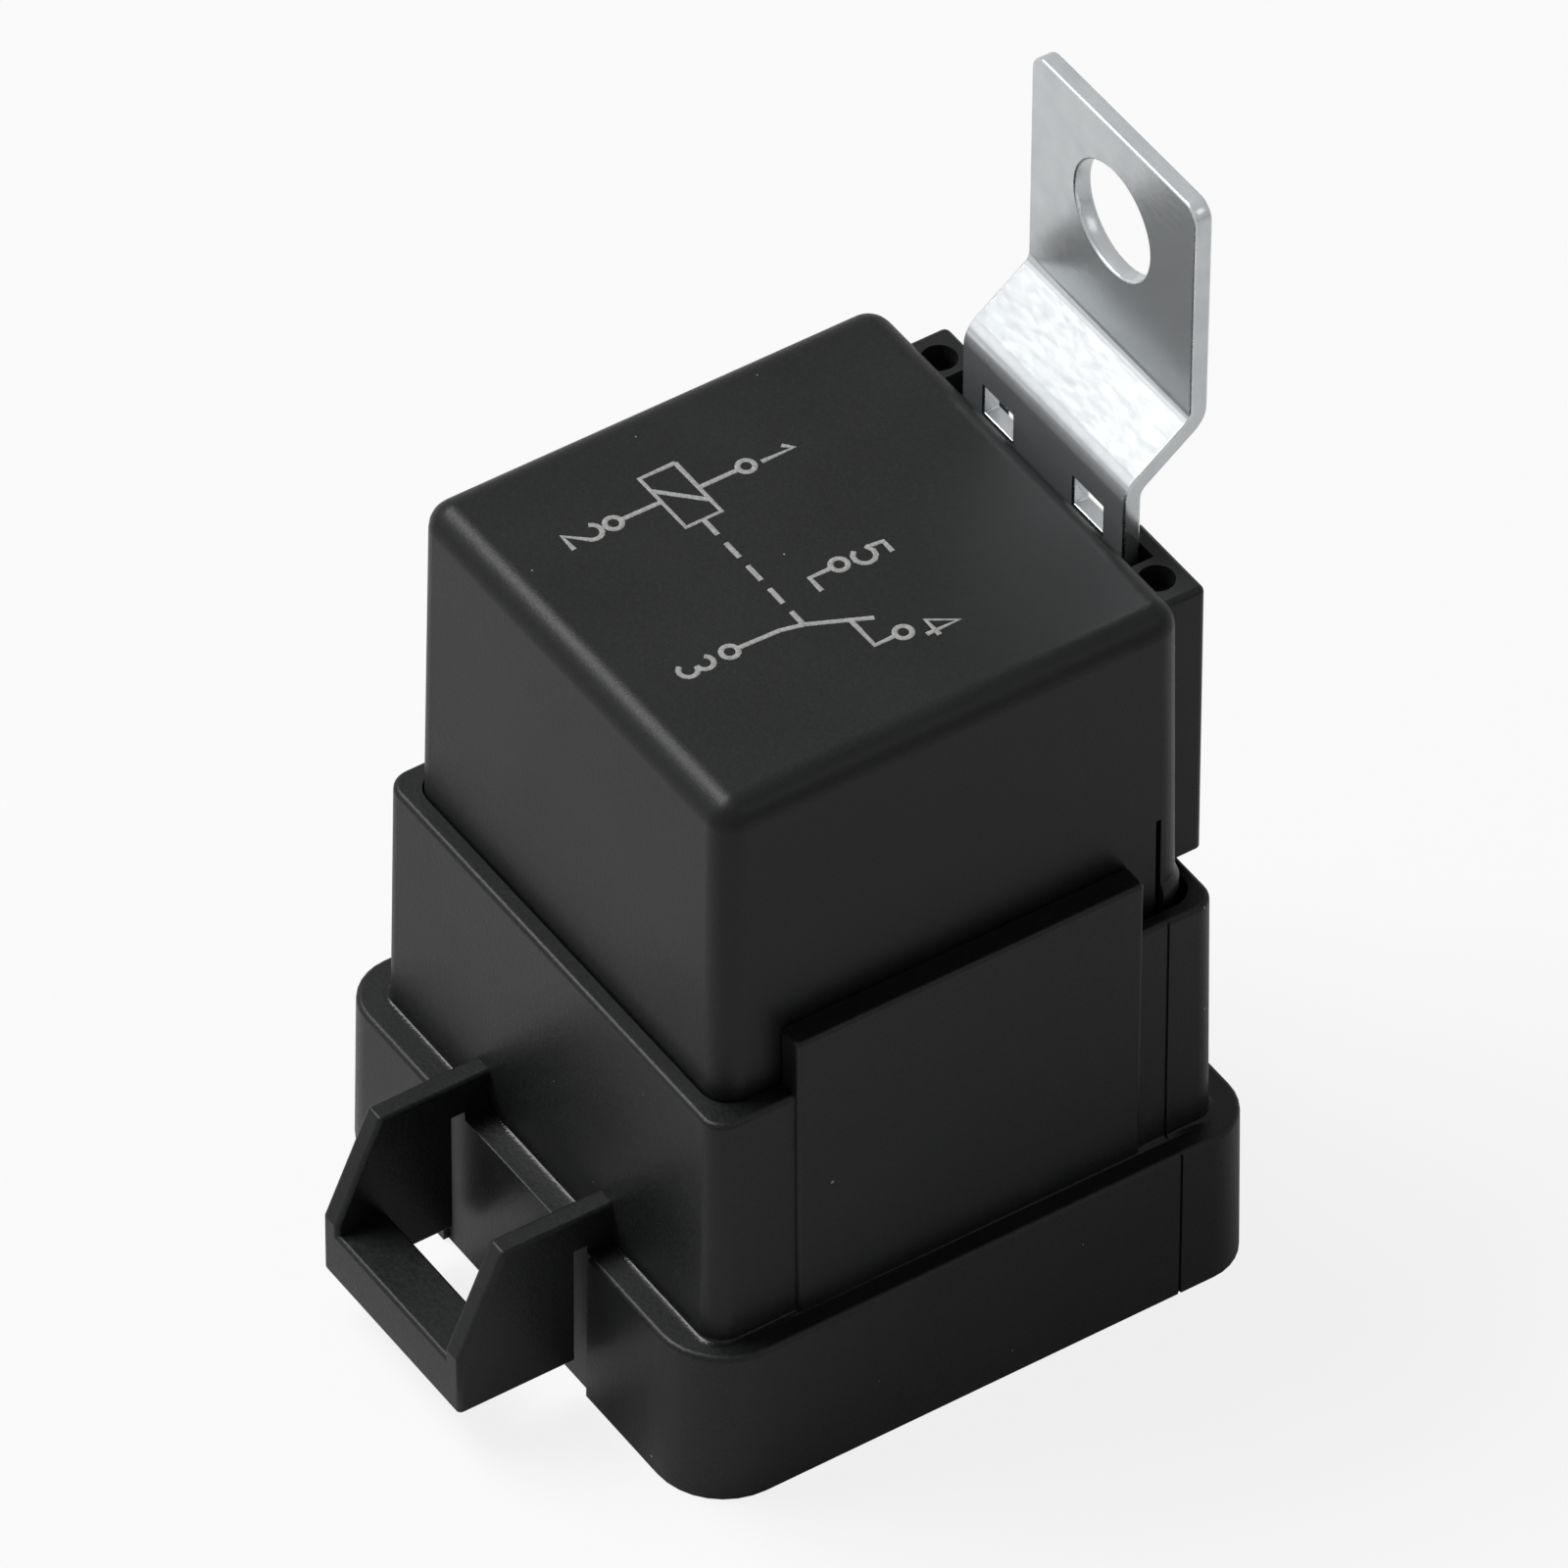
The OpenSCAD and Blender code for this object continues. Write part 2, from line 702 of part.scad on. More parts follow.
// Blade and post of a coil end, on the side given by s
module coil_terminal(s) {
    post_top_z = web_top_z + 4.5;
    post_half = 1;
    color([0.78, 0.79, 0.8])
        translate([s * coil_blade_x, coil_blade_y, 0])
            union() {
                rotate([0, 0, 90])
                    blade(web_top_z + 0.8);
                box([-blade_t / 2, -post_half, web_top_z], [blade_t / 2, post_half, post_top_z]);
            }
}

module terminal_85() {
    coil_terminal(1);
}

module terminal_86() {
    coil_terminal(-1);
}

module terminal_87() {
    t = blade_t;
    y0 = no_y - t / 2;
    y1 = no_y + t / 2;
    color([0.78, 0.66, 0.42])
        difference() {
            union() {
                translate([0, no_y, 0])
                    blade(web_top_z + 0.8);
                across_x(post_w)
                    union() {
                        translate([y0, web_top_z])
                            square([t, no_tab_z - web_top_z]);
                        translate([y1, no_tab_z])
                            fold(t, -1, 1);
                        translate([y1, no_tab_z])
                            square([contact_y + post_w / 2 - y1, t]);
                    }
            }
            translate([0, contact_y, no_tab_z - over])
                cylinder(r = rivet_d / 2 + rivet_fit, h = t + 2 * over);
        }
}

module terminal_87a() {
    half = post_w / 2;
    t = blade_t;
    x0 = nc_post_x - t / 2;
    y0 = nc_y + t / 2;
    color([0.78, 0.66, 0.42])
        difference() {
            union() {
                translate([0, nc_y, 0])
                    blade(strip_z);
                across_x(blade_w)
                    translate([y0, strip_z])
                        fold(t, -1, 1);
                translate([0, 0, strip_z])
                    linear_extrude(t)
                        nc_strip_outline(0);
                translate([0, contact_y + half, 0])
                    rotate([90, 0, 0])
                        linear_extrude(post_w)
                            union() {
                                translate([x0, strip_z])
                                    square([t, nc_arm_z - strip_z]);
                                translate([x0, nc_arm_z])
                                    fold(t, 1, 1);
                                translate([-half, nc_arm_z])
                                    square([half + x0, t]);
                            }
            }
            translate([0, contact_y, nc_arm_z - over])
                cylinder(r = rivet_d / 2 + rivet_fit, h = t + 2 * over);
        }
}

// Square flange of the bobbin
module bobbin_flange(z) {
    translate([0, coil_y, z])
        linear_extrude(flange_t)
            rounded_square(flange_w, 1.2);
}

module coil_bobbin() {
    color([0.85, 0.82, 0.74])
        difference() {
            union() {
                bobbin_flange(bobbin_z);
                bobbin_flange(bobbin_top_z - flange_t);
                translate([0, coil_y, bobbin_z])
                    cylinder(r = tube_r, h = bobbin_top_z - bobbin_z);
            }
            translate([0, coil_y, bobbin_z - over])
                cylinder(r = core_d / 2 + touch, h = bobbin_top_z - bobbin_z + 2 * over);
        }
}

module coil_winding() {
    color([0.72, 0.36, 0.16])
        translate([0, coil_y, winding_z])
            difference() {
                cylinder(d = winding_d, h = winding_top_z - winding_z, $fn = 96);
                translate([0, 0, -over])
                    cylinder(r = tube_r + touch, h = winding_top_z - winding_z + 2 * over);
            }
}

module core() {
    color([0.62, 0.63, 0.64])
        translate([0, coil_y, 0])
            union() {
                translate([0, 0, yoke_z])
                    cylinder(r = tail_r, h = iron_t + 2 * touch);
                translate([0, 0, bobbin_z])
                    cylinder(d = core_d, h = pole_top_z - bobbin_z - sliver);
                translate([0, 0, pole_top_z - pole_t])
                    cylinder(d = pole_d, h = pole_t);
            }
}

module yoke() {
    color([0.66, 0.67, 0.69])
        difference() {
            across_x(yoke_w)
                union() {
                    translate([yoke_front_y, yoke_z])
                        square([yoke_foot_y - yoke_front_y, iron_t]);
                    translate([yoke_front_y, yoke_z + iron_t])
                        fold(iron_t, -1, -1);
                    translate([yoke_back_y, yoke_z + iron_t])
                        square([iron_t, yoke_top_z - yoke_z - iron_t]);
                }
            translate([0, coil_y, yoke_z - over])
                cylinder(r = tail_r + rivet_fit, h = iron_t + 2 * over);
            box([-blade_t / 2 - blade_fit, stake_y - stake_w / 2 - blade_fit, yoke_z - over],
                [blade_t / 2 + blade_fit, stake_y + stake_w / 2 + blade_fit, yoke_z + iron_t + over]);
            for (s = [-1, 1])
                translate([s * spring_rivet_x, yoke_front_y + over, yoke_rivet_z])
                    rotate([90, 0, 0])
                        cylinder(r = rivet_d / 2 + rivet_fit, h = iron_t + 2 * over);
        }
}

module armature() {
    notch = 0.8;
    half = armature_w / 2;
    color([0.68, 0.69, 0.71])
        difference() {
            translate([0, 0, pivot_z])
                linear_extrude(iron_t)
                    polygon([[-half, armature_tail_y], [half, armature_tail_y],
                             [half, armature_nose_y - 2], [half - 2, armature_nose_y],
                             [-half + 2, armature_nose_y], [-half, armature_nose_y - 2]]);
            for (s = [-1, 1])
                translate([s * spring_rivet_x, armature_rivet_y, pivot_z - over])
                    cylinder(r = rivet_d / 2 + rivet_fit, h = iron_t + 2 * over);
            for (s = [-1, 1])
                translate([s * half, pivot_y, pivot_z + iron_t / 2])
                    cube([2 * notch, notch, iron_t + over], center = true);
        }
}

// Side profile of the leaf: up the yoke's back, over the bend and forward
module spring_profile() {
    back_y = yoke_back_y - sliver;
    top_z = spring_z + spring_t;
    foot_z = yoke_rivet_z - 2;
    outer = spring_bend_r + spring_t;
    translate([back_y - spring_t, foot_z])
        square([spring_t, top_z - outer - foot_z]);
    translate([back_y + spring_bend_r, top_z - outer])
        difference() {
            fold(outer, -1, 1);
            circle(r = spring_bend_r);
        }
    translate([back_y + spring_bend_r, spring_z])
        square([contact_y + contact_d / 2 - back_y - spring_bend_r, spring_t]);
}

// Plan of the leaf: full width over the armature, then a narrow tongue
module spring_plan() {
    half = spring_w / 2;
    tip_half = contact_d / 2 + 0.3;
    polygon([[-half, yoke_back_y - 2], [half, yoke_back_y - 2], [half, armature_nose_y - 1],
             [tip_half, armature_nose_y + 2], [tip_half, contact_y], [-tip_half, contact_y],
             [-tip_half, armature_nose_y + 2], [-half, armature_nose_y - 1]]);
    translate([0, contact_y])
        circle(r = tip_half);
}

module contact_spring() {
    slot_w = 4;
    foot_z = yoke_rivet_z - 2;
    color([0.8, 0.5, 0.3])
        difference() {
            intersection() {
                across_x(spring_w)
                    spring_profile();
                translate([0, 0, foot_z - over])
                    linear_extrude(spring_z + spring_t - foot_z + 2 * over)
                        spring_plan();
            }
            box([-slot_w / 2, yoke_back_y - 2, yoke_rivet_z + 2],
                [slot_w / 2, armature_rivet_y - 2, spring_z + spring_t + over]);
            for (s = [-1, 1]) {
                translate([s * spring_rivet_x, yoke_front_y, yoke_rivet_z])
                    rotate([90, 0, 0])
                        cylinder(r = rivet_d / 2 + rivet_fit, h = iron_t + 2);
                translate([s * spring_rivet_x, armature_rivet_y, spring_z - over])
                    cylinder(r = rivet_d / 2 + rivet_fit, h = spring_t + 2 * over);
            }
            translate([0, contact_y, spring_z - over])
                cylinder(r = rivet_d / 2 + rivet_fit, h = spring_t + 2 * over);
        }
}

module moving_contact() {
    color([0.85, 0.86, 0.87])
        translate([0, contact_y, 0])
            union() {
                translate([0, 0, moving_low_z + contact_h])
                    cylinder(d = contact_d, h = spring_z - moving_low_z - contact_h);
                translate([0, 0, moving_low_z + contact_h])
                    mirror([0, 0, 1])
                        button(contact_d, contact_h);
                translate([0, 0, spring_z - sliver])
                    cylinder(d = rivet_d, h = spring_t + 3 * sliver);
                translate([0, 0, spring_z + spring_t])
                    button(contact_d, contact_h);
            }
}

// Contact riveted through a fixed terminal's tab; its head faces side s of the tab
module fixed_contact(tab_z, s) {
    face_z = s > 0 ? tab_z + blade_t : tab_z;
    color([0.85, 0.86, 0.87])
        translate([0, contact_y, 0])
            union() {
                translate([0, 0, tab_z])
                    cylinder(d = rivet_d, h = blade_t);
                translate([0, 0, face_z])
                    mirror([0, 0, s > 0 ? 0 : 1])
                        button(contact_d, contact_h);
            }
}

module no_contact() {
    fixed_contact(no_tab_z, 1);
}

module nc_contact() {
    fixed_contact(nc_arm_z, -1);
}

// Rivet from the origin along +Z: a shank of length l under a domed head
module rivet(l) {
    cylinder(d = rivet_d, h = l + sliver);
    translate([0, 0, l])
        button(rivet_head_d, rivet_head_h);
}

module spring_yoke_rivets() {
    color([0.75, 0.75, 0.76])
        for (s = [-1, 1])
            translate([s * spring_rivet_x, yoke_front_y, yoke_rivet_z])
                rotate([90, 0, 0])
                    rivet(iron_t + spring_t + 2 * sliver);
}

module spring_armature_rivets() {
    color([0.75, 0.75, 0.76])
        for (s = [-1, 1])
            translate([s * spring_rivet_x, armature_rivet_y, pivot_z])
                rivet(iron_t + spring_t + 2 * sliver);
}

// Wire from the winding to its post, with three turns wrapped round the post
module coil_lead(s) {
    turns = 3;
    wrap_z = web_top_z + 2.9;
    post_half = 1;
    near_x = sqrt(pow(winding_d / 2, 2) - pow(coil_blade_y - coil_y, 2));
    wrap_x = coil_blade_x - blade_t / 2 - lead_d;
    color([0.75, 0.4, 0.18])
        union() {
            translate([s * near_x, coil_blade_y, wrap_z + lead_d / 2])
                rotate([0, s * 90, 0])
                    cylinder(d = lead_d, h = wrap_x - near_x + lead_d / 2);
            for (k = [0:turns - 1])
                translate([s * coil_blade_x, coil_blade_y, wrap_z + k * lead_d])
                    linear_extrude(lead_d)
                        difference() {
                            square([blade_t + 2 * lead_d, 2 * (post_half + lead_d)], center = true);
                            square([blade_t + 2 * sliver, 2 * (post_half + sliver)], center = true);
                        }
        }
}

module coil_lead_85() {
    coil_lead(1);
}

module coil_lead_86() {
    coil_lead(-1);
}

cover();
shrouded_base();
epoxy_seal();
mounting_bracket();
terminal_30();
terminal_85();
terminal_86();
terminal_87();
terminal_87a();
coil_bobbin();
coil_winding();
core();
yoke();
armature();
contact_spring();
moving_contact();
no_contact();
nc_contact();
spring_yoke_rivets();
spring_armature_rivets();
coil_lead_85();
coil_lead_86();
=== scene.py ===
import math

import bmesh
import bpy
from mathutils import Matrix, Vector


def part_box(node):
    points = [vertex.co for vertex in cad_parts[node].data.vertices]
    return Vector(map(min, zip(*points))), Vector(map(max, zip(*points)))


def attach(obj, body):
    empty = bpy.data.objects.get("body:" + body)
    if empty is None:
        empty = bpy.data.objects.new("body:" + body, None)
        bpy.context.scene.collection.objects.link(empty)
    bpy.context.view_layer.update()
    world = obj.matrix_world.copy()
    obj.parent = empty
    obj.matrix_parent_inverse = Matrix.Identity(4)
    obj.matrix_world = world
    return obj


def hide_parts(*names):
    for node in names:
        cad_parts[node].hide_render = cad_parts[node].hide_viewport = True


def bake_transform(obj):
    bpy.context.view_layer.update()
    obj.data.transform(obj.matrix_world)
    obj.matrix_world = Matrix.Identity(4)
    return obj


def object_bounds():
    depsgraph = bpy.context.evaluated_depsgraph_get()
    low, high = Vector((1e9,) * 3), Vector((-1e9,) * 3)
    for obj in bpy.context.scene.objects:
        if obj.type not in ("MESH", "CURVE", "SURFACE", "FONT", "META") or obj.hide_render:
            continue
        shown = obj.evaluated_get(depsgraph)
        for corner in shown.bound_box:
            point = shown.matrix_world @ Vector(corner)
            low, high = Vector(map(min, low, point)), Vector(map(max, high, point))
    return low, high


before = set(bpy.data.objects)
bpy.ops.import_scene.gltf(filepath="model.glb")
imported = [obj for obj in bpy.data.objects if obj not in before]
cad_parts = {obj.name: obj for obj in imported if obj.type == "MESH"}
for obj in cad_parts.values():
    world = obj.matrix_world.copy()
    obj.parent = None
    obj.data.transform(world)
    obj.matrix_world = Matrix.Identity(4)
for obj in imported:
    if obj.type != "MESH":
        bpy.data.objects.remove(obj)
cad_low, cad_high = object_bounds()

MM = 0.001

# The studio: how far each softbox stands off, in metres, the light that the room gives and how much
# of full white the background and the floor show in reflections and to the camera.
SOFTBOX_DISTANCE = 1.3
ROOM_LIGHT = 0.1
ROOM_IN_MIRRORS = 0.54
FLOOR_IN_MIRRORS = 0.17
FLOOR_TO_CAMERA = 0.85


# ---------------------------------------------------------------- camera and light


def towards(azimuth, elevation):
    """The unit vector at an azimuth (0 is +X, 90 is +Y) and an elevation, both in degrees."""
    turned, raised = math.radians(azimuth), math.radians(elevation)
    level = math.cos(raised)
    return Vector((math.cos(turned) * level, math.sin(turned) * level, math.sin(raised)))


def facing_back(direction):
    """The rotation that points an object's own Z along a direction, so that a camera or lamp looks back."""
    return direction.to_track_quat("Z", "Y").to_matrix()


def place_camera():
    """A long lens above the latch corner, so that the relay shows with hardly any perspective."""
    back, roll = towards(-33.96, 44.02), math.radians(0.435)
    distance, aim = 0.933, Vector((-12.02, 7.21, 14.48)) * MM
    camera = bpy.data.objects.new("camera", bpy.data.cameras.new("camera"))
    camera.data.lens = 427.07
    camera.data.sensor_width = 36
    camera.data.clip_start, camera.data.clip_end = 0.05, 20
    turn = facing_back(back) @ Matrix.Rotation(roll, 3, "Z")
    camera.matrix_world = Matrix.Translation(aim + back * distance) @ turn.to_4x4()
    bpy.context.scene.collection.objects.link(camera)
    bpy.context.scene.camera = camera


def softbox(name, azimuth, elevation, size, power):
    """A rectangular area lamp, with its size in metres, that faces the relay's middle."""
    lamp = bpy.data.lights.new(name, "AREA")
    lamp.shape = "RECTANGLE"
    lamp.size, lamp.size_y = size
    lamp.energy = power
    back = towards(azimuth, elevation)
    stand = (cad_low + cad_high) / 2 + back * SOFTBOX_DISTANCE
    box = bpy.data.objects.new(name, lamp)
    box.matrix_world = Matrix.Translation(stand) @ facing_back(back).to_4x4()
    box.visible_camera = False
    bpy.context.scene.collection.objects.link(box)


def light_studio():
    """A large softbox over the latch side, weak ones in front and behind for the edges, and an even room."""
    softbox("key_softbox", 212, 57, (0.8, 0.6), 17.9)
    softbox("front_softbox", 229, 20, (1.1, 0.5), 1.1)
    softbox("back_softbox", 30, 37, (0.5, 0.5), 0.6)
    scene = bpy.context.scene
    scene.world = bpy.data.worlds.new("studio_room")
    scene.world.use_nodes = True
    tree = scene.world.node_tree
    tree.nodes.clear()
    path = add(tree, "ShaderNodeLightPath")
    room = add(tree, "ShaderNodeBackground", {"Color": sRGB("#ffffff"), "Strength": ROOM_LIGHT})
    white = add(tree, "ShaderNodeBackground", {"Color": sRGB("#ffffff"), "Strength": 1.0})
    shown = add(tree, "ShaderNodeMath", {"operation": "MAXIMUM"},
                {0: path.outputs["Is Camera Ray"], 1: in_mirrors(tree, path, ROOM_IN_MIRRORS)})
    seen = add(tree, "ShaderNodeMixShader",
               links={0: shown.outputs[0], 1: room.outputs[0], 2: white.outputs[0]})
    add(tree, "ShaderNodeOutputWorld", links={"Surface": seen.outputs[0]})
    scene.view_settings.view_transform = "Standard"


# ---------------------------------------------------------------- materials


def sRGB(hex_code):
    """The linear colour, with alpha, of an sRGB hex code."""
    parts = [int(hex_code[i:i + 2], 16) / 255 for i in (1, 3, 5)]
    return (*[c / 12.92 if c <= 0.04045 else ((c + 0.055) / 1.055) ** 2.4 for c in parts], 1)


def add(tree, kind, settings=None, links=None):
    """Adds a node. settings holds its properties and its sockets' constants, and links holds the outputs
    that its sockets take."""
    node = tree.nodes.new(kind)
    for key, value in (settings or {}).items():
        if isinstance(key, str) and hasattr(node, key):
            setattr(node, key, value)
        else:
            node.inputs[key].default_value = value
    for key, output in (links or {}).items():
        tree.links.new(output, node.inputs[key])
    return node


def per(size):
    """The pattern scale that makes one cell of a texture this many millimetres wide."""
    return 1 / (size * MM)


def in_mirrors(tree, path, share):
    """The share on rays that come from a reflection or through a clear piece, and 0 on the others."""
    mirrored = add(tree, "ShaderNodeMath", {"operation": "MAXIMUM"},
                   {0: path.outputs["Is Glossy Ray"], 1: path.outputs["Is Transmission Ray"]})
    faint = add(tree, "ShaderNodeMath", {"operation": "MULTIPLY", 1: share}, {0: mirrored.outputs[0]})
    return faint.outputs[0]


def new_material(name):
    """An empty node material, with its shader, its output and the piece's own coordinates."""
    material = bpy.data.materials.new(name)
    material.use_nodes = True
    tree = material.node_tree
    tree.nodes.clear()
    place = add(tree, "ShaderNodeTexCoord").outputs["Object"]
    shader = add(tree, "ShaderNodeBsdfPrincipled")
    add(tree, "ShaderNodeOutputMaterial", links={"Surface": shader.outputs["BSDF"]})
    return material, tree, place, shader


def between(tree, value, low, high):
    """Takes a texture's value from its usual middle range, 0.3 to 0.7, to low..high."""
    return add(tree, "ShaderNodeMapRange", {"From Min": 0.3, "From Max": 0.7, "To Min": low, "To Max": high},
               {"Value": value}).outputs["Result"]


def tinted(tree, mask, base, other):
    """The colour base, going to other where the mask is 1."""
    return add(tree, "ShaderNodeMix", {"data_type": "RGBA", 6: sRGB(base), 7: sRGB(other)},
               {0: mask}).outputs[2]


def bump(tree, shader, height, depth, strength=1.0):
    """Raises the surface by a texture, whose full range is this many millimetres deep."""
    relief = add(tree, "ShaderNodeBump", {"Strength": strength, "Distance": depth * MM}, {"Height": height})
    tree.links.new(relief.outputs["Normal"], shader.inputs["Normal"])


def moulded(name, colour, pale, rough, grain, depth, dust=0.0, glint=None):
    """A moulded thermoplastic: spark-eroded grain from the tool, slow gloss changes along the flow, and dust.
    Between the two heights of glint, in mm, the tool's polished corner leaves a bright line."""
    material, tree, place, shader = new_material(name)
    flow = add(tree, "ShaderNodeTexNoise", {"Scale": per(9), "Detail": 2.0}, {"Vector": place})
    skin = add(tree, "ShaderNodeTexNoise", {"Scale": per(grain), "Detail": 3.0, "Roughness": 0.6},
               {"Vector": place})
    bloom = add(tree, "ShaderNodeMath", {"operation": "ADD", "use_clamp": True},
                {0: between(tree, flow.outputs["Fac"], 0.0, 0.5),
                 1: between(tree, skin.outputs["Fac"], -0.3, 0.6)})
    base = tinted(tree, bloom.outputs[0], colour, pale)
    if dust:
        specks = add(tree, "ShaderNodeTexVoronoi", {"Scale": per(2.6), "Randomness": 1.0}, {"Vector": place})
        size = add(tree, "ShaderNodeSeparateColor", links={"Color": specks.outputs["Color"]})
        radius = add(tree, "ShaderNodeMath", {"operation": "MULTIPLY", 1: dust}, {0: size.outputs["Red"]})
        speck = add(tree, "ShaderNodeMath", {"operation": "LESS_THAN"},
                    {0: specks.outputs["Distance"], 1: radius.outputs[0]})
        base = add(tree, "ShaderNodeMix", {"data_type": "RGBA", 7: sRGB("#8c8c88")},
                   {0: speck.outputs[0], 6: base}).outputs[2]
    tree.links.new(base, shader.inputs["Base Color"])
    uneven = add(tree, "ShaderNodeMath", {"operation": "ADD"},
                 {0: between(tree, flow.outputs["Fac"], rough - 0.03, rough + 0.03),
                  1: between(tree, skin.outputs["Fac"], -0.04, 0.04)})
    gloss = uneven.outputs[0]
    if glint:
        low, high = glint
        height = add(tree, "ShaderNodeSeparateXYZ", links={"Vector": place})
        band = add(tree, "ShaderNodeMath",
                   {"operation": "COMPARE", 1: (low + high) / 2 * MM, 2: (high - low) / 2 * MM},
                   {0: height.outputs["Z"]})
        facing = add(tree, "ShaderNodeSeparateXYZ",
                     links={"Vector": add(tree, "ShaderNodeNewGeometry").outputs["Normal"]})
        sloped = add(tree, "ShaderNodeMath", {"operation": "GREATER_THAN", 1: 0.1}, {0: facing.outputs["Z"]})
        corner = add(tree, "ShaderNodeMath", {"operation": "MULTIPLY"},
                     {0: band.outputs[0], 1: sloped.outputs[0]})
        gloss = add(tree, "ShaderNodeMix", {"data_type": "FLOAT", 3: 0.12},
                    {0: corner.outputs[0], 2: gloss}).outputs[0]
    tree.links.new(gloss, shader.inputs["Roughness"])
    bump(tree, shader, skin.outputs["Fac"], depth)
    shader.inputs["IOR"].default_value = 1.55
    shader.inputs["Specular IOR Level"].default_value = 0.19
    return material


def rolled(name, colour, dull, rough, along, streak=0.25, pits=0.004, reach=25, metallic=1.0):
    """A rolled and plated strip: streaks along the rolling direction, a cloudy plating and fine pits.
    A metallic value below 1 lets the passivation over the plating scatter some light."""
    material, tree, place, shader = new_material(name)
    stretch = [per(streak)] * 3
    stretch["XYZ".index(along)] = per(streak * reach)
    drawn = add(tree, "ShaderNodeMapping", {"Scale": stretch}, {"Vector": place})
    lines = add(tree, "ShaderNodeTexNoise", {"Scale": 1.0, "Detail": 4.0, "Roughness": 0.6},
                {"Vector": drawn.outputs["Vector"]})
    cloud = add(tree, "ShaderNodeTexNoise", {"Scale": per(1.5), "Detail": 4.0}, {"Vector": place})
    crystals = add(tree, "ShaderNodeTexNoise", {"Scale": per(0.12), "Detail": 2.0}, {"Vector": place})
    tree.links.new(tinted(tree, between(tree, cloud.outputs["Fac"], 0.0, 1.0), colour, dull),
                   shader.inputs["Base Color"])
    uneven = add(tree, "ShaderNodeMath", {"operation": "ADD"},
                 {0: between(tree, cloud.outputs["Fac"], rough - 0.02, rough + 0.02),
                  1: between(tree, lines.outputs["Fac"], -0.03, 0.03)})
    tree.links.new(uneven.outputs[0], shader.inputs["Roughness"])
    relief = add(tree, "ShaderNodeMath", {"operation": "MULTIPLY_ADD", 1: 0.5},
                 {0: crystals.outputs["Fac"], 2: lines.outputs["Fac"]})
    bump(tree, shader, relief.outputs[0], pits)
    shader.inputs["Metallic"].default_value = metallic
    return material


def enamelled_wire(name, colour, dark):
    """Drawn copper wire under a clear enamel, with patches where the enamel is thicker and darker."""
    material, tree, place, shader = new_material(name)
    patches = add(tree, "ShaderNodeTexNoise", {"Scale": per(2.5), "Detail": 2.0}, {"Vector": place})
    tree.links.new(tinted(tree, between(tree, patches.outputs["Fac"], 0.0, 1.0), colour, dark),
                   shader.inputs["Base Color"])
    tree.links.new(between(tree, patches.outputs["Fac"], 0.22, 0.34), shader.inputs["Roughness"])
    shader.inputs["Metallic"].default_value = 0.55
    shader.inputs["Coat Weight"].default_value = 0.6
    shader.inputs["Coat Roughness"].default_value = 0.15
    return material


def cast_resin(name, colour):
    """Cast epoxy: it levels itself while wet, so it is glossy with slow waves and a few small bubbles."""
    material, tree, place, shader = new_material(name)
    waves = add(tree, "ShaderNodeTexNoise", {"Scale": per(4), "Detail": 1.0}, {"Vector": place})
    bubbles = add(tree, "ShaderNodeTexVoronoi", {"Scale": per(2.2)}, {"Vector": place})
    dents = add(tree, "ShaderNodeMapRange", {"From Min": 0.0, "From Max": 0.12, "To Min": 0.0, "To Max": 0.4},
                {"Value": bubbles.outputs["Distance"]})
    height = add(tree, "ShaderNodeMath", {"operation": "ADD"},
                 {0: waves.outputs["Fac"], 1: dents.outputs["Result"]})
    bump(tree, shader, height.outputs[0], 0.15, 0.7)
    tree.links.new(tinted(tree, waves.outputs["Fac"], colour, "#1d1b1a"), shader.inputs["Base Color"])
    tree.links.new(between(tree, waves.outputs["Fac"], 0.1, 0.2), shader.inputs["Roughness"])
    shader.inputs["IOR"].default_value = 1.56
    return material


def laser_mark(name, colour, pale):
    """Laser marking: the beam foams the black plastic to a matt grey crust, lighter where it dwells."""
    material, tree, place, shader = new_material(name)
    foam = add(tree, "ShaderNodeTexNoise", {"Scale": per(0.16), "Detail": 3.0, "Roughness": 0.7},
               {"Vector": place})
    tree.links.new(tinted(tree, between(tree, foam.outputs["Fac"], 0.0, 1.0), colour, pale),
                   shader.inputs["Base Color"])
    bump(tree, shader, foam.outputs["Fac"], 0.03)
    shader.inputs["Roughness"].default_value = 0.85
    return material


def pale_floor(name, colour):
    """A matt white sweep. To the camera it is nearly white, it glows faintly in reflections, and it keeps
    the soft shadow."""
    material, tree, place, shader = new_material(name)
    fleck = add(tree, "ShaderNodeTexNoise", {"Scale": per(1.5), "Detail": 2.0}, {"Vector": place})
    tree.links.new(tinted(tree, fleck.outputs["Fac"], colour, "#dadad9"), shader.inputs["Base Color"])
    shader.inputs["Roughness"].default_value = 0.9
    shader.inputs["Specular IOR Level"].default_value = 0.1
    glow = add(tree, "ShaderNodeEmission", {"Color": sRGB("#ffffff"), "Strength": 1.0})
    path = add(tree, "ShaderNodeLightPath")
    share = add(tree, "ShaderNodeMath", {"operation": "MULTIPLY_ADD", 1: FLOOR_TO_CAMERA},
                {0: path.outputs["Is Camera Ray"], 2: in_mirrors(tree, path, FLOOR_IN_MIRRORS)})
    both = add(tree, "ShaderNodeMixShader", links={0: share.outputs[0], 1: shader.outputs["BSDF"],
                                                   2: glow.outputs["Emission"]})
    output = next(node for node in tree.nodes if node.bl_idname == "ShaderNodeOutputMaterial")
    tree.links.new(both.outputs[0], output.inputs["Surface"])
    return material


# Heights in mm of the small corner where the base's skirt begins: the tool is polished there.
SKIRT_CORNER = (9.72, 9.96)

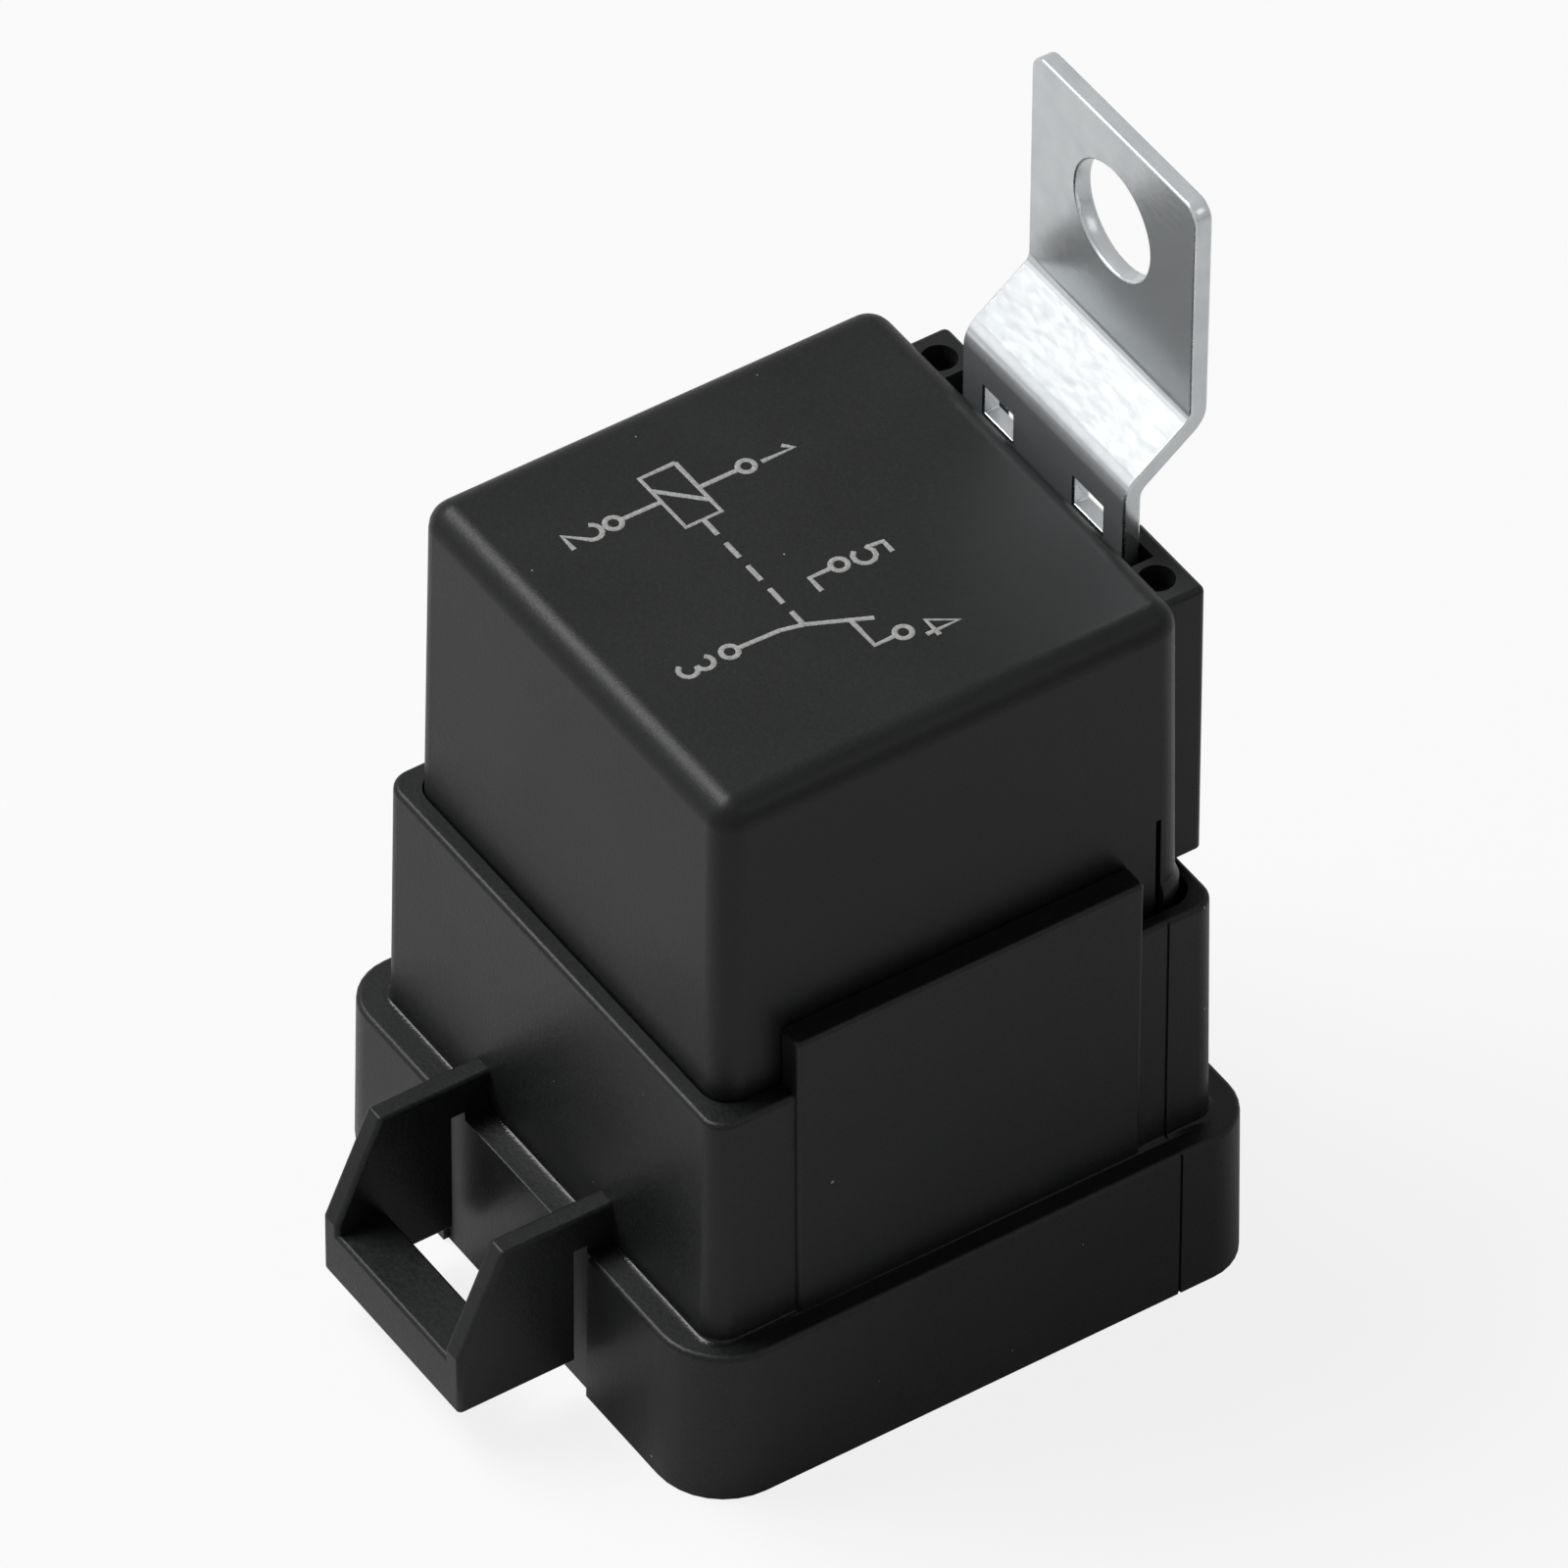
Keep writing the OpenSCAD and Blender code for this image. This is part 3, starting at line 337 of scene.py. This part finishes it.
# PBT, injection moulded in a spark-eroded tool: an even satin black that scatters the softbox widely.
# Its edges are rubbed a little glossier. Their paler colour is partly rubbing and partly a painted highlight,
# which draws them as thin light lines.
COVER = moulded("black_pbt_spark_eroded", "#131414", "#1b1c1c", 0.4, 0.16, 0.013, 0.045)
# Painted highlight: this edge colour is paler than the cover's, over a little real rubbing.
COVER_RUBBED_EDGE_AND_HIGHLIGHT = moulded("black_pbt_rubbed_edge_painted_highlight", "#2c2d2d", "#353636", 0.34, 0.14, 0.006)
# Glass-filled PA66, injection moulded: a little glossier, with the fibres' faint grain, and paler edges that
# are partly rubbed and partly a painted highlight.
BASE = moulded("black_glass_filled_pa66", "#151616", "#202121", 0.38, 0.22, 0.016, 0.04, SKIRT_CORNER)
# Painted highlight: this edge colour is paler than the base's, over a little real rubbing.
BASE_RUBBED_EDGE_AND_HIGHLIGHT = moulded("black_pa66_rubbed_edge_painted_highlight", "#363737", "#414242", 0.32, 0.2, 0.006)
# Natural PBT, injection moulded: cream, slightly cloudy.
BOBBIN = moulded("cream_pbt_moulded", "#ddd3bb", "#e6decb", 0.45, 0.3, 0.01)
BOBBIN_EDGE = moulded("cream_pbt_edge", "#e6decb", "#efe9da", 0.4, 0.3, 0.006)
# Cold rolled steel, blanked, bent and zinc plated with clear passivation: bright, bluish and softly
# mirrored, with a veil over it that scatters some light. Its sheared edges are rougher.
ZINC = rolled("zinc_plated_steel", "#dcdfe1", "#d0d4d7", 0.22, "X", 0.3, 0.003, 3, 0.78)
ZINC_EDGE = rolled("zinc_plated_sheared_edge", "#e2e5e7", "#d0d4d8", 0.28, "Y", 0.1, 0.01)
# Brass strip, stamped and tinned: a warm white metal with a satin face, yellower along its edges.
TIN = rolled("tinned_brass_strip", "#cfc8b6", "#bdb39a", 0.3, "Z")
TIN_EDGE = rolled("tinned_brass_rubbed_edge", "#dbcf9f", "#cdbb7d", 0.26, "Z")
# Soft iron, blanked and nickel flashed: grey and dull.
IRON = rolled("nickel_flashed_soft_iron", "#a6a7a6", "#949594", 0.38, "X", 0.3)
IRON_EDGE = rolled("soft_iron_rubbed_edge", "#b8b9b8", "#a6a7a6", 0.32, "X", 0.3)
# Phosphor bronze, hard rolled: pink-gold with a tight grain.
BRONZE = rolled("rolled_phosphor_bronze", "#c79a6b", "#b5845a", 0.28, "Y", 0.15, 0.002)
BRONZE_EDGE = rolled("phosphor_bronze_edge", "#d9b07f", "#c79a6b", 0.24, "Y", 0.15, 0.002)
# Silver tin oxide, headed: a white satin contact face.
SILVER = rolled("silver_contact_alloy", "#e1e0dc", "#cfcdc8", 0.34, "X", 0.1, 0.003)
# Steel rivets, headed and plated: small grey domes with a soft highlight.
RIVET = rolled("plated_rivet_steel", "#b9bbbd", "#a7a9ab", 0.3, "X", 0.1, 0.003)
# Copper wire, drawn and enamelled: a red-brown metal under a clear gloss.
COPPER = enamelled_wire("enamelled_copper_wire", "#b5622f", "#8f4520")
# Epoxy, cast: a glossy black with slow waves.
RESIN = cast_resin("black_cast_epoxy", "#141414")
# Foamed by a laser: flat pale grey lines that catch no highlight.
MARK = laser_mark("laser_marked_grey", "#838482", "#b2b3b0")
# Paper, coated white: a plain ground that shows the shadow only.
FLOOR = pale_floor("white_paper_sweep", "#dedede")


# ---------------------------------------------------------------- floor


def lay_floor():
    """A flat sheet 8 m wide, a tenth of a millimetre under the skirt's rim."""
    mesh = bpy.data.meshes.new("floor")
    half = 4
    corners = [(-half, -half, 0), (half, -half, 0), (half, half, 0), (-half, half, 0)]
    mesh.from_pydata(corners, [], [(0, 1, 2, 3)])
    floor = bpy.data.objects.new("floor", mesh)
    floor.location.z = -0.1 * MM
    mesh.materials.append(FLOOR)
    bpy.context.scene.collection.objects.link(floor)


# ---------------------------------------------------------------- finish of the CAD pieces


def round_edges(piece, edge):
    """Clean flat faces and small rounded edges in the edge material, as live modifiers.
    The weld takes out slivers of the CAD mesh that are a few thousandths of a millimetre wide."""
    weld = piece.modifiers.new("weld", "WELD")
    weld.merge_threshold = 0.006 * MM
    flat = piece.modifiers.new("flat_faces", "DECIMATE")
    flat.decimate_type = "DISSOLVE"
    flat.angle_limit = math.radians(0.3)
    bevel = piece.modifiers.new("edge", "BEVEL")
    bevel.width = edge * MM
    bevel.segments = 2
    bevel.limit_method = "ANGLE"
    bevel.angle_limit = math.radians(35)
    bevel.material = 1
    piece.modifiers.new("normals", "WEIGHTED_NORMAL")


def finish(piece, material, edge_material, edge):
    """Gives a piece its material, and a paler one on its rounded edges: rubbed wear, which on the black
    plastics is also a painted highlight.
    """
    piece.data.materials.clear()
    piece.data.materials.append(material)
    piece.data.materials.append(edge_material)
    for polygon in piece.data.polygons:
        polygon.use_smooth = True
        polygon.material_index = 0
    round_edges(piece, edge)


# Each CAD piece's material, the material of its edges and their radius in mm.
FINISHES = {
    "cover": (COVER, COVER_RUBBED_EDGE_AND_HIGHLIGHT, 0.08),
    "shrouded_base": (BASE, BASE_RUBBED_EDGE_AND_HIGHLIGHT, 0.1),
    "epoxy_seal": (RESIN, RESIN, 0.15),
    "mounting_bracket": (ZINC, ZINC_EDGE, 0.12),
    "terminal_30": (TIN, TIN_EDGE, 0.08),
    "terminal_85": (TIN, TIN_EDGE, 0.08),
    "terminal_86": (TIN, TIN_EDGE, 0.08),
    "terminal_87": (TIN, TIN_EDGE, 0.08),
    "terminal_87a": (TIN, TIN_EDGE, 0.08),
    "coil_bobbin": (BOBBIN, BOBBIN_EDGE, 0.08),
    "coil_winding": (COPPER, COPPER, 0.05),
    "coil_lead_85": (COPPER, COPPER, 0.02),
    "coil_lead_86": (COPPER, COPPER, 0.02),
    "core": (IRON, IRON_EDGE, 0.08),
    "yoke": (IRON, IRON_EDGE, 0.1),
    "armature": (IRON, IRON_EDGE, 0.1),
    "moving_contact": (SILVER, SILVER, 0.06),
    "no_contact": (SILVER, SILVER, 0.06),
    "nc_contact": (SILVER, SILVER, 0.06),
    "spring_yoke_rivets": (RIVET, RIVET, 0.05),
    "spring_armature_rivets": (RIVET, RIVET, 0.05),
}


def make_contact_spring():
    """The leaf spring as one merged mesh."""
    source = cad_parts["contact_spring"]
    shape = bmesh.new()
    shape.from_mesh(source.data)
    bmesh.ops.remove_doubles(shape, verts=shape.verts, dist=0.002 * MM)
    mesh = bpy.data.meshes.new("contact_spring_leaf")
    shape.to_mesh(mesh)
    shape.free()
    leaf = bpy.data.objects.new("contact_spring_leaf", mesh)
    bpy.context.scene.collection.objects.link(leaf)
    finish(leaf, BRONZE, BRONZE_EDGE, 0.03)
    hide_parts("contact_spring")
    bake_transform(leaf)


# ---------------------------------------------------------------- what repeats, by Geometry Nodes


def new_tree(name, inputs):
    """A Geometry Nodes tree with a geometry in, a geometry out and the named number or vector inputs."""
    tree = bpy.data.node_groups.new(name, "GeometryNodeTree")
    tree.interface.new_socket("Geometry", in_out="INPUT", socket_type="NodeSocketGeometry")
    tree.interface.new_socket("Geometry", in_out="OUTPUT", socket_type="NodeSocketGeometry")
    for key, value in inputs.items():
        kind = "NodeSocketInt" if isinstance(value, int) else "NodeSocketFloat"
        if isinstance(value, (tuple, Vector)):
            kind = "NodeSocketVector"
        tree.interface.new_socket(key, in_out="INPUT", socket_type=kind)
    return tree, add(tree, "NodeGroupInput"), add(tree, "NodeGroupOutput")


def grown(name, source_mesh, tree, inputs):
    """Runs a tree on a mesh with these inputs, and keeps the result as a plain mesh object at the origin."""
    carrier = bpy.data.objects.new(name + "_carrier", source_mesh)
    bpy.context.scene.collection.objects.link(carrier)
    modifier = carrier.modifiers.new("grow", "NODES")
    modifier.node_group = tree
    sockets = {item.name: item.identifier for item in tree.interface.items_tree if item.in_out == "INPUT"}
    for key, value in inputs.items():
        modifier[sockets[key]] = value
    carrier.update_tag()
    scene_now = bpy.context.evaluated_depsgraph_get()
    mesh = bpy.data.meshes.new_from_object(carrier.evaluated_get(scene_now))
    carrier.modifiers.clear()
    bpy.data.objects.remove(carrier)
    mesh.name = name
    piece = bpy.data.objects.new(name, mesh)
    bpy.context.scene.collection.objects.link(piece)
    return piece


def turns_tree():
    """One round coil of wire, stood on each point of the mesh it is given."""
    tree, given, result = new_tree("wire_turns", {"Radius": 0.0, "Height": 0.0, "Turns": 0.0, "Wire": 0.0})
    path = add(tree, "GeometryNodeCurveSpiral", {"Resolution": 36},
               {"Rotations": given.outputs["Turns"], "Start Radius": given.outputs["Radius"],
                "End Radius": given.outputs["Radius"], "Height": given.outputs["Height"]})
    wire = add(tree, "GeometryNodeCurvePrimitiveCircle", {"Resolution": 6}, {"Radius": given.outputs["Wire"]})
    swept = add(tree, "GeometryNodeCurveToMesh", {"Fill Caps": True},
                {"Curve": path.outputs["Curve"], "Profile Curve": wire.outputs["Curve"]})
    stood = add(tree, "GeometryNodeInstanceOnPoints", links={"Points": given.outputs["Geometry"],
                                                             "Instance": swept.outputs["Mesh"]})
    solid = add(tree, "GeometryNodeRealizeInstances", links={"Geometry": stood.outputs["Instances"]})
    round_wire = add(tree, "GeometryNodeSetShadeSmooth", links={"Geometry": solid.outputs["Geometry"]})
    copper = add(tree, "GeometryNodeSetMaterial", {"Material": COPPER},
                 {"Geometry": round_wire.outputs["Geometry"]})
    tree.links.new(copper.outputs["Geometry"], result.inputs["Geometry"])
    return tree


def wind_coil():
    """The outer layer of the winding, standing a little out of the solid coil between the bobbin's flanges.
    The real wire is about 0.1 mm; it is drawn 0.3 mm thick, so that the turns show."""
    low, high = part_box("coil_winding")
    pitch, sunk = 0.3 * MM, 0.05 * MM
    foot = bpy.data.meshes.new("coil_foot")
    foot.from_pydata([((low.x + high.x) / 2, (low.y + high.y) / 2, low.z + pitch)], [], [])
    height = high.z - low.z - 2 * pitch
    turns = grown("winding_turns", foot, turns_tree(),
                  {"Radius": (high.x - low.x) / 2 - sunk, "Height": height,
                   "Turns": float(round(height / pitch)), "Wire": pitch / 2})
    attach(turns, "relay")


# The switching diagram, in mm on the top of the cover: each terminal's place, and lines through their
# points. The first line is the coil's box, and the link is a row of dashes from the coil to the contact.
TERMINALS = [(-6.6, 1.2), (-6.76, -6.44), (3.9, -6.72), (7.36, 1.05), (1.7, 1.1)]
DIAGRAM = [
    [(-8.7, -1.57), (-4.58, -1.57), (-4.58, -3.66), (-8.7, -3.66), (-8.7, -1.57)],
    [(-7.62, -3.62), (-5.6, -1.62)],
    [(-6.6, 0.76), (-6.6, -1.57)],
    [(-6.74, -3.66), (-6.76, -6.0)],
    [(3.9, -6.26), (3.98, -3.9), (4.3, -2.62), (5.74, 0.44)],
    [(7.36, 0.6), (7.36, -0.62), (5.3, -0.62)],
    [(1.7, 0.64), (1.7, -0.62), (2.8, -0.62)],
]
LINK_START, LINK_END, LINK_DASHES = (-3.9, -2.64), (3.8, -2.68), 5
# Half a dash's length as a share of the step between dashes, and in mm the rings' radius, half the
# strokes' width and how far they stand out of the cover.
DASH_SHARE, RING_RADIUS, STROKE_HALF, STROKE_PROUD = 0.32, 0.43, 0.15, 0.03


def arc(x, y, radius, start, end, steps=8):
    """Points along a circle, in mm, from one angle in degrees to another."""
    turns = [math.radians(start + (end - start) * index / steps) for index in range(steps + 1)]
    return [(x + radius * math.cos(turn), y + radius * math.sin(turn)) for turn in turns]


# Plain numerals 1.9 mm high, each one stroke round its own middle, and where each stands.
NUMERALS = [
    ((-6.5, 2.95), [(-0.4, 0.5), (0.05, 0.95), (0.05, -0.95)]),
    ((-6.8, -8.1), arc(0, 0.42, 0.53, 165, -35) + [(-0.55, -0.95), (0.58, -0.95)]),
    ((3.9, -8.65), arc(-0.03, 0.49, 0.46, 150, -90) + arc(-0.03, -0.46, 0.49, 90, -150)),
    ((7.85, 2.85), [(0.25, -0.95), (0.25, 0.95), (-0.62, -0.42), (0.62, -0.42)]),
    ((1.85, 2.85), [(0.5, 0.95), (-0.36, 0.95), (-0.45, 0.1)] + arc(-0.02, -0.36, 0.58, 135, -150)),
]


def marking_tree():
    """Lines, rings at the terminals and a row of dashes, all swept with one flat bead."""
    inputs = {"Bead": (0.0, 0.0, 0.0), "Ring radius": 0.0, "Link start": (0.0, 0.0, 0.0),
              "Link step": (0.0, 0.0, 0.0), "Dashes": 1, "Dash": (0.0, 0.0, 0.0)}
    tree, given, result = new_tree("diagram_marking", inputs)
    alone = add(tree, "GeometryNodeInputMeshVertexNeighbors")
    single = add(tree, "FunctionNodeCompare", {"data_type": "INT", "operation": "EQUAL", 3: 0},
                 {2: alone.outputs["Vertex Count"]})
    spots = add(tree, "GeometryNodeMeshToPoints", links={"Mesh": given.outputs["Geometry"],
                                                         "Selection": single.outputs[0]})
    ring = add(tree, "GeometryNodeCurvePrimitiveCircle", {"Resolution": 24},
               {"Radius": given.outputs["Ring radius"]})
    rings = add(tree, "GeometryNodeInstanceOnPoints", links={"Points": spots.outputs[0],
                                                             "Instance": ring.outputs["Curve"]})
    row = add(tree, "GeometryNodeMeshLine", {"mode": "OFFSET"},
              {"Count": given.outputs["Dashes"], "Start Location": given.outputs["Link start"],
               "Offset": given.outputs["Link step"]})
    half = add(tree, "ShaderNodeVectorMath", {"operation": "SCALE", "Scale": -1.0},
               {0: given.outputs["Dash"]})
    dash = add(tree, "GeometryNodeCurvePrimitiveLine", links={"Start": half.outputs[0],
                                                              "End": given.outputs["Dash"]})
    dashes = add(tree, "GeometryNodeInstanceOnPoints", links={"Points": row.outputs[0],
                                                              "Instance": dash.outputs["Curve"]})
    lines = add(tree, "GeometryNodeMeshToCurve", links={"Mesh": given.outputs["Geometry"]})
    drawn = add(tree, "GeometryNodeJoinGeometry", links={"Geometry": lines.outputs["Curve"]})
    for more in (rings, dashes):
        tree.links.new(more.outputs["Instances"], drawn.inputs["Geometry"])
    solid = add(tree, "GeometryNodeRealizeInstances", links={"Geometry": drawn.outputs[0]})
    upright = add(tree, "GeometryNodeSetCurveNormal", {"mode": "Z_UP"}, {"Curve": solid.outputs[0]})
    bead = add(tree, "GeometryNodeCurvePrimitiveCircle", {"Resolution": 12, "Radius": 1.0})
    flat = add(tree, "GeometryNodeTransform", links={"Geometry": bead.outputs["Curve"],
                                                     "Scale": given.outputs["Bead"]})
    swept = add(tree, "GeometryNodeCurveToMesh", {"Fill Caps": True},
                {"Curve": upright.outputs["Curve"], "Profile Curve": flat.outputs["Geometry"]})
    marked = add(tree, "GeometryNodeSetMaterial", {"Material": MARK}, {"Geometry": swept.outputs["Mesh"]})
    tree.links.new(marked.outputs["Geometry"], result.inputs["Geometry"])
    return tree


def mark_cover():
    """The diagram and plain terminal numbers, as a thin crust on the cover's top."""
    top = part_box("cover")[1].z
    skeleton = bpy.data.meshes.new("diagram_skeleton")
    points, edges = [(x * MM, y * MM, top) for x, y in TERMINALS], []
    numerals = [[(at_x + x, at_y + y) for x, y in stroke] for (at_x, at_y), stroke in NUMERALS]
    for line in DIAGRAM + numerals:
        for index, (x, y) in enumerate(line):
            if index:
                edges.append((len(points) - 1, len(points)))
            points.append((x * MM, y * MM, top))
    skeleton.from_pydata(points, edges, [])
    start, end = (Vector((x, y, 0)) * MM for x, y in (LINK_START, LINK_END))
    step = (end - start) / (LINK_DASHES - 1)
    diagram = grown("switching_diagram", skeleton, marking_tree(),
                    {"Bead": (STROKE_HALF * MM, STROKE_PROUD * MM, 1.0), "Ring radius": RING_RADIUS * MM,
                     "Link start": start + Vector((0, 0, top)), "Link step": step,
                     "Dashes": LINK_DASHES, "Dash": step * DASH_SHARE})
    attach(diagram, "relay")


for node, (material, edge_material, edge) in FINISHES.items():
    finish(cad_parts[node], material, edge_material, edge)
make_contact_spring()
wind_coil()
mark_cover()
lay_floor()
place_camera()
light_studio()
